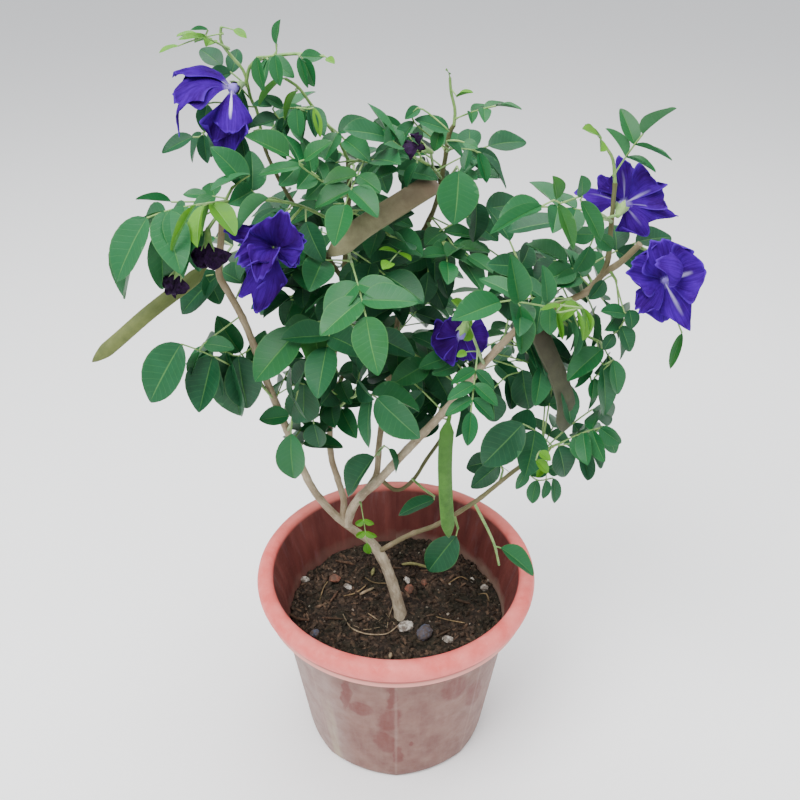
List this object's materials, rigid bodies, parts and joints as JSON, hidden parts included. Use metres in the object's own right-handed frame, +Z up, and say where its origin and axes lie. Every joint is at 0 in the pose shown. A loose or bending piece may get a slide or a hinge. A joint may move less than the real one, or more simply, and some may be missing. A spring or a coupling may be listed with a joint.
{
  "type": "potted butterfly pea plant",
  "caption": "Branching climber with compound leaves, doubled violet flowers and flat seed pods, growing in a round rimmed plastic pot filled with soil.",
  "frame": {"origin": "middle of the pot's flat underside, on the pot's axis", "axes": "+Z up along the pot's axis, -Y towards the viewer of the picture, +X to the right as seen from there"},
  "size_m": [0.4344, 0.2985, 0.6724],
  "materials": {
    "pot_plastic": "matt, weathered, with lime bloom",
    "soil": "loose and damp, dark crumbs",
    "bark": "thin grey brown bark",
    "leaf": "satin living leaf",
    "petal": "velvety petal",
    "withered_petal": "crumpled and dry",
    "pod_green": "fresh downy pod",
    "pod_olive": "ripening pod",
    "pod_tan": "drying pod",
    "stone_pale": "rough",
    "stone_blue": "rough",
    "brick": "broken brick"
  },
  "bodies": {
    "root": {"pot": "pot_plastic", "soil": "soil", "wood": "bark", "arch_shoot": "leaf", "back_centre": "leaf", "back_left": "leaf", "back_low": "leaf", "back_middle": "leaf", "back_right": "leaf", "back_thin": "leaf", "back_top": "leaf", "basal_shoot": "leaf", "big_leaf": "leaf", "bloom_centre": "petal", "bloom_left": "petal", "bloom_right_high": "petal", "bloom_right_low": "petal", "bloom_top_left": "petal", "brick_chip": "brick", "centre_mid": "leaf", "centre_right": "leaf", "crown": "leaf", "crown_left": "leaf", "crown_side": "leaf", "end_bloom": "leaf", "far_left": "leaf", "fern_shoot": "leaf", "front_left": "leaf", "left_hang": "leaf", "left_inner": "leaf", "left_low": "leaf", "left_runner": "leaf", "long_leaf": "leaf", "low_back": "leaf", "low_centre": "leaf", "low_shoot": "leaf", "middle_front": "leaf", "pod_brown": "pod_tan", "pod_green": "pod_green", "pod_olive": "pod_olive", "pod_tan": "pod_tan", "right_hang": "leaf", "right_inner": "leaf", "right_low": "leaf", "right_mid_shoot": "leaf", "right_up_shoot": "leaf", "rim_leaf_left": "leaf", "rim_leaf_middle": "leaf", "rim_leaf_right": "leaf", "stone_blue": "stone_blue", "stone_pale": "stone_pale", "top_left_shoot": "leaf", "top_left_side": "leaf", "top_mid_left": "leaf", "upper_left": "leaf", "withered_crown": "withered_petal", "withered_far": "withered_petal", "withered_left": "withered_petal"}
  },
  "joints": []
}
